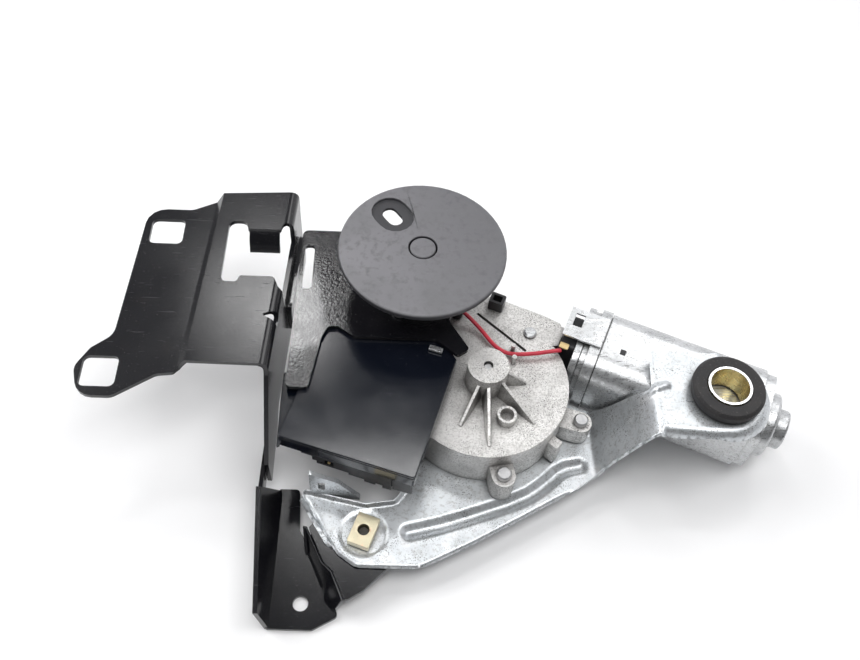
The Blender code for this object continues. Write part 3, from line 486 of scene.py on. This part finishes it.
EDGE = {"side_bracket": 0.45, "foot_bracket": 0.4, "inner_bracket": 0.4, "mounting_plate": 0.35,
        "gearbox_housing": 0.8, "coupling_disc": 0.35, "control_unit_lid": 0.4, "control_unit_case": 0.35,
        "grommet": 0.25, "end_bell": 0.5, "motor_can": 0.5, "flux_ring": 0.3, "motor_flange": 0.3,
        "motor_strap": 0.3}


OWN_LOOK = {"clamp_bolt": "dark_steel", "grommet_sleeve": "gold_sleeve"}


def finish_cad_nodes():
    slots = {row["node"]: row["material_slot"] for row in frame["record"]["subparts"]}
    for name, obj in NODES.items():
        obj.data.materials.clear()
        obj.data.materials.append(LOOKS[OWN_LOOK.get(name, slots[name])])
        soften(obj, EDGE.get(name, 0.15))


# ---- outlines and pressed sheets ---------------------------------------------------------------
def arc(cx, cy, r, a0, a1, steps):
    angles = [math.radians(a0 + (a1 - a0) * i / steps) for i in range(steps + 1)]
    return [(cx + r * math.cos(a), cy + r * math.sin(a)) for a in angles]


def ring(cx, cy, r, steps=40):
    return arc(cx, cy, r, 0, 360, steps)[:-1]


def rounded(corners, steps=5):
    """Corner points, each with an optional radius, as a closed outline."""
    loop = []
    count = len(corners)
    for i, corner in enumerate(corners):
        here = Vector(corner[:2])
        radius = corner[2] if len(corner) > 2 else 0
        back = Vector(corners[i - 1][:2]) - here
        ahead = Vector(corners[(i + 1) % count][:2]) - here
        half = back.angle(ahead) / 2
        if radius <= 0 or half > 1.55:
            loop.append(tuple(here))
            continue
        reach = min(radius / math.tan(half), back.length * 0.49, ahead.length * 0.49)
        start, end = here + back.normalized() * reach, here + ahead.normalized() * reach
        for k in range(steps + 1):
            t = k / steps
            loop.append(tuple(start * (1 - t) ** 2 + here * (2 * t * (1 - t)) + end * t ** 2))
    return loop


def spaced(loop, step):
    """The same closed outline with a point at least every step."""
    points = []
    for (x0, y0), (x1, y1) in zip(loop, loop[1:] + loop[:1]):
        parts = max(1, round(math.hypot(x1 - x0, y1 - y0) / step))
        points += [(x0 + (x1 - x0) * i / parts, y0 + (y1 - y0) * i / parts) for i in range(parts)]
    return points


def inside(x, y, loop):
    """Which of the points lie inside a closed outline."""
    found = np.zeros(x.shape, bool)
    for (x0, y0), (x1, y1) in zip(loop, loop[1:] + loop[:1]):
        if y0 != y1:
            crosses = ((y0 > y) != (y1 > y)) & (x < (x1 - x0) * (y - y0) / (y1 - y0) + x0)
            found ^= crosses
    return found


def line_distance(x, y, line, closed=False):
    """Distance from each point to a line of points, in the units they share."""
    best = np.full(x.shape, 1e9)
    ends = zip(line, line[1:] + (line[:1] if closed else []))
    for (x0, y0), (x1, y1) in ends:
        dx, dy = x1 - x0, y1 - y0
        t = np.clip(((x - x0) * dx + (y - y0) * dy) / max(dx * dx + dy * dy, 1e-12), 0, 1)
        best = np.minimum(best, np.hypot(x - x0 - t * dx, y - y0 - t * dy))
    return best


def step(value, low, high):
    """Smooth step from 0 at low to 1 at high."""
    t = np.clip((value - low) / (high - low), 0, 1)
    return t * t * (3 - 2 * t)


def roll(distance, radius):
    """Drop of a rolled rim at a distance in from the edge."""
    t = np.clip((radius - distance) / radius, 0, 0.985)
    return radius * (1 - np.sqrt(1 - t * t))


def filled(loops, extra=()):
    """Points and triangles that fill an outline with holes, with extra points inside it."""
    rim, edges = [], []
    for loop in loops:
        start = len(rim)
        rim += loop
        edges += [(start + i, start + (i + 1) % len(loop)) for i in range(len(loop))]
    points = [Vector(p) for p in rim] + [Vector(p) for p in extra]
    flat, _, faces, *_ = geometry.delaunay_2d_cdt(points, edges, [], 0, 1e-5)
    x, y = np.array([p.x for p in flat]), np.array([p.y for p in flat])
    middle = np.array([[sum(x[i] for i in face) / 3, sum(y[i] for i in face) / 3] for face in faces])
    solid = inside(middle[:, 0], middle[:, 1], loops[0])
    for loop in loops[1:]:
        solid &= ~inside(middle[:, 0], middle[:, 1], loop)
    return x, y, [face for face, wanted in zip(faces, solid) if wanted]


def thick_sheet(name, points, faces, thickness, slot, edge=0.3):
    """A piece of sheet made from its top face, with thickness below and rounded edges."""
    mesh = bpy.data.meshes.new(name)
    mesh.from_pydata(points, [], faces)
    obj = bpy.data.objects.new(name, mesh)
    bpy.context.scene.collection.objects.link(obj)
    thick = obj.modifiers.new("thickness", "SOLIDIFY")
    thick.thickness = thickness * MM
    thick.offset = -1
    dress(obj, slot)
    round_edges(obj, edge, angle=45)
    return obj


def inset(loops, distance):
    """Points at a distance inside the outline and outside its holes."""
    found = []
    for loop in loops:
        ends = np.array(loop + loop[:1])
        middle, along = (ends[1:] + ends[:-1]) / 2, ends[1:] - ends[:-1]
        across = np.stack([-along[:, 1], along[:, 0]], 1) / np.hypot(along[:, 0], along[:, 1])[:, None]
        for side in (-distance, distance):
            found.append(middle + across * side)
    x, y = np.concatenate(found).T
    keep = inside(x, y, loops[0])
    for loop in loops[1:]:
        keep &= ~inside(x, y, loop)
    for loop in loops:
        keep &= line_distance(x, y, loop, True) > distance * 0.96
    return list(zip(x[keep], y[keep]))


def pressed_sheet(name, loops, level, thickness, spacing, slot):
    """Outline with holes, filled with a fine net, lifted by level(x, y) and thickened downwards."""
    loops = [spaced(loop, spacing) for loop in loops]
    xs, ys = [p[0] for p in loops[0]], [p[1] for p in loops[0]]
    grid_x, grid_y = np.meshgrid(np.arange(min(xs), max(xs), spacing), np.arange(min(ys), max(ys), spacing))
    grid_x = (grid_x + (np.arange(grid_x.shape[0])[:, None] % 2) * spacing / 2).ravel()
    grid_y = grid_y.ravel()
    keep = inside(grid_x, grid_y, loops[0])
    for loop in loops[1:]:
        keep &= ~inside(grid_x, grid_y, loop)
    for loop in loops:
        keep &= line_distance(grid_x, grid_y, loop, True) > 2.4
    rows = [point for distance in (0.4, 0.9, 1.5, 2.1) for point in inset(loops, distance)]
    x, y, faces = filled(loops, list(zip(grid_x[keep], grid_y[keep])) + rows)
    return thick_sheet(name, [mm(*p) for p in zip(x, y, level(x, y))], faces, thickness, slot)


def flat_sheet(name, loops, thickness, slot, origin, right, up, edge=0.3):
    """Sheet with holes in the plane of two directions from an origin, thickness away from its face."""
    x, y, faces = filled(loops)
    right, up = Vector(right).normalized(), Vector(up).normalized()
    points = [mm(*origin) + (right * float(u) + up * float(v)) * MM for u, v in zip(x, y)]
    return thick_sheet(name, points, faces, thickness, slot, edge)


def dress(obj, slot, body="frame"):
    """Gives a piece its finish and its body."""
    obj.data.materials.clear()
    obj.data.materials.append(LOOKS[slot])
    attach(obj, body)
    return obj


# ---- galvanised plate --------------------------------------------------------------------------
PLATE_TOP, LOBE_TOP, SHEET = 15.5, 53.5, 2.0
GROMMET = (136.2, -56.6)
NUT = (-22.5, -110.1)
BEAD = [(-2.8, -109.2), (11.2, -105.6), (21.5, -102.3), (32.2, -98.5), (42.0, -94.9), (51.8, -90.3),
        (57.6, -86.2), (62.4, -82.1), (66.0, -78.7), (70.3, -76.3), (76.7, -74.9)]


def plate_loop():
    gx, gy = GROMMET
    return rounded([(-51, -90.2, 2), (-50.3, -96, 4), (-33.5, -119.5, 6), (-25.5, -125.2, 7),
                    (2.5, -125.4, 14), (26.4, -113.5), (50.0, -100.4), (73.8, -86.8, 8), (87.5, -77.0, 8),
                    (104, -76.6, 8),
                    *arc(gx, gy, 21.5, -97, 100, 24),
                    (104.6, -34.0, 4), (103.6, -54.8, 2), (84.0, -46.6, 3), (62.5, -38.0, 4), (10, -37, 6),
                    (-4.5, -62, 8), (-5.4, -89.0, 3), (-9.5, -94.6, 3), (-22, -96.6, 6), (-37, -93.3, 4)])


def plate_level(x, y):
    """Height of the plate: ramp to the lobe, bead, nut seat, lifted lip, rolled rims and dents."""
    along = np.clip((x - 82.5) / 23.0, 0, 1)
    climb = along * along * (3 - 2 * along) * 0.66 + along * 0.34
    z = PLATE_TOP + (LOBE_TOP - PLATE_TOP) * climb
    z = z - 2.4 * (1 - step(line_distance(x, y, BEAD), 0.4, 4.7))
    z = z - 0.6 * (1 - step(np.hypot(x - NUT[0], y - NUT[1]), 10.0, 10.9))
    lip = line_distance(x, y, [(-49, -90.5), (-37, -93.3), (-22, -96.6), (-9.5, -94.6), (-5.4, -89.0)])
    z = z + 1.6 * (1 - step(lip, 0.3, 2.0))
    left_rim = [(-51, -92), (-33.5, -119.5), (-25.5, -125.2), (2.5, -125.4), (26.4, -113.5), (50.0, -100.4),
                (73.8, -86.8)]
    z = z - roll(line_distance(x, y, left_rim), 1.8) * (1 - step(x, 66, 74))
    lobe_rim = [(108, -76.6), (128, -78.2), *arc(*GROMMET, 21.5, -85, 80, 24)]
    z = z - 1.3 * roll(line_distance(x, y, lobe_rim), 4.4) * step(x, 100, 108)
    dent = line_distance(x, y, [(101.5, -56.2), (110.2, -53.0)])
    return z + 1.5 * (1 - step(dent, 0.3, 2.3))


def plate():
    loops = [plate_loop(), ring(*GROMMET, 12.8, 40), ring(*NUT, 3.3, 24)]
    sheet = pressed_sheet("pressed_plate", loops, plate_level, SHEET, 1.0, "galvanised")
    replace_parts(sheet, "mounting_plate")
    ear = [rounded([(0, 0), (22, 0), (22, 2), (12.5, 15.5, 1.6), (1, 21.5, 1.6), (0, 21.5)]),
           rounded([(3.7, 7.5, 0.8), (6.8, 7.5, 0.8), (6.8, 14, 0.8), (3.7, 14, 0.8)])]
    along = math.radians(-4.4)
    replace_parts(flat_sheet("plate_ear", ear, SHEET, "galvanised", (-46.9, -92.2, PLATE_TOP - 1.2),
                           (math.cos(along), math.sin(along), 0), (0, 0, 1), 0.45), "mounting_plate")


def foot_wall():
    """The steep wall between the foot's base and its raised panel, one strip along the slanted edge."""
    low_edge = [(-48.3, -114.4), (-46.2, -114.4), (-37.9, -131.3), (-38.1, -135.4), (-33.5, -139.6)]
    high_edge = [(-49.4, -106.0), (-47.6, -106.4), (-39.5, -122.3), (-35.2, -126.4), (-29.8, -139.0)]
    points = [mm(*p, 1.9) for p in low_edge] + [mm(*p, 13.0) for p in high_edge]
    faces = [(i, i + 1, i + 6, i + 5) for i in range(4)]
    thick_sheet("foot_wall", points, faces, -1.2, "black_paint", 0.3)


def can_hole_shade():
    """A small dark square set into the flat top of the ring round the can: painted shade standing in for a hole.
    """
    hole = rounded([(-1.3, -1.5, 0.3), (1.3, -1.5, 0.3), (1.3, 1.5, 0.3), (-1.3, 1.5, 0.3)])
    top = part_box("flux_ring")[1].z / MM
    flat_sheet("can_hole_shade", [hole], 0.4, "dark_plastic", (94.7, -31.7, top + 0.1), MOTOR_DIR, MOTOR_SIDE, 0.05)


# ---- control unit ------------------------------------------------------------------------------
UNIT_CORNER, UNIT_YAW = (-1.5, -98.7), math.radians(-17.4)
UNIT_RIGHT = Vector((math.cos(UNIT_YAW), math.sin(UNIT_YAW), 0))
UNIT_BACK = Vector((-math.sin(UNIT_YAW), math.cos(UNIT_YAW), 0))


def unit_place(x, y, z):
    """A point of the unit's own square frame, from the lower right corner of its lid."""
    spot = Vector((*UNIT_CORNER, 0)) + UNIT_RIGHT * x + UNIT_BACK * y
    return spot.x, spot.y, z


LID_LEVEL, FRONT_GAP, FRONT_SHEET = 45.8, 0.15, 0.9


def front_sheet(name, outline, edge):
    """A thin upright piece just behind the unit's front edge."""
    flat_sheet(name, [outline], FRONT_SHEET, "dark_plastic", unit_place(0, FRONT_GAP, 0), UNIT_RIGHT,
               (0, 0, 1), edge)


def unit_front():
    """Stepped skirt and corner piece under the front edge, and a wing towards the tall web."""
    front_sheet("unit_skirt", rounded([
        (-51.5, 42.5), (-51.5, 38.6), (-46.5, 38.6), (-46.5, 35.4), (-40.8, 35.4), (-40.8, 38.2),
        (-36.6, 38.2), (-36.6, 33.6), (-29.8, 33.6), (-29.8, 31.4), (-22.6, 31.4), (-22.6, 29.6),
        (-17.4, 29.6), (-17.4, 31.0), (-14.2, 31.0), (-14.2, 28.8), (-10.2, 28.8), (-10.2, 42.5)]), 0.15)
    wing = rounded([(-60.6, -84.2, 1.0), (-60.8, -58.9, 2.0), (-60.5, -47.0, 1.0), (-48.2, -48.8),
                    (-59.4, -83.6)])
    flat_sheet("unit_wing", [wing], 1.2, "case_plastic", (0, 0, LID_LEVEL), (1, 0, 0), (0, 1, 0), 0.3)
    corner = rounded([(-9.6, 42.5), (-9.6, 31.0, 0.6), (-1.0, 31.0, 0.6), (-1.0, 42.5)])
    front_sheet("unit_corner", corner, 0.3)


camera()
studio()
finish_cad_nodes()
plate()
foot_wall()
can_hole_shade()
unit_front()
